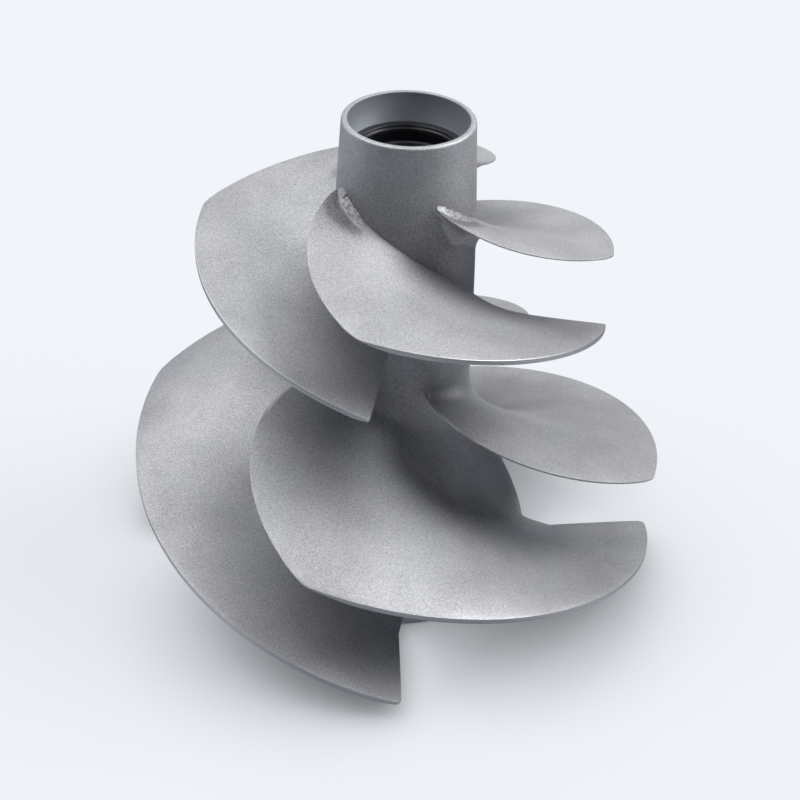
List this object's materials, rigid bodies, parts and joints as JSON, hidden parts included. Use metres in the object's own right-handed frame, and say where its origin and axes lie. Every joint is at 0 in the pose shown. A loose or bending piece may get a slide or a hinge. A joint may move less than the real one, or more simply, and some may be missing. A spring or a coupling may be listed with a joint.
{
  "type": "personal watercraft impeller",
  "caption": "Cast steel jet pump impeller with swept helical blades in a front row and a rear row, on a hub that flares to the rear, and a seal ring in its front bore.",
  "frame": {"origin": "on the shaft axis, in the plane of the rear face that the impeller stands on", "axes": "+Z along the shaft axis towards the front rim, -Y towards the side that faces the viewer of the source view"},
  "size_m": [0.1588, 0.1588, 0.1445],
  "materials": {
    "blasted_steel": "bead blasted, matt",
    "seal_rubber": "smooth, slightly glossy"
  },
  "bodies": {
    "root": {"hub": "blasted_steel", "front_blade_1": "blasted_steel", "front_blade_2": "blasted_steel", "front_blade_3": "blasted_steel", "front_blade_4": "blasted_steel", "rear_blade_1": "blasted_steel", "rear_blade_2": "blasted_steel", "rear_blade_3": "blasted_steel", "rear_blade_4": "blasted_steel", "bore_seal_ring": "seal_rubber"}
  },
  "joints": []
}
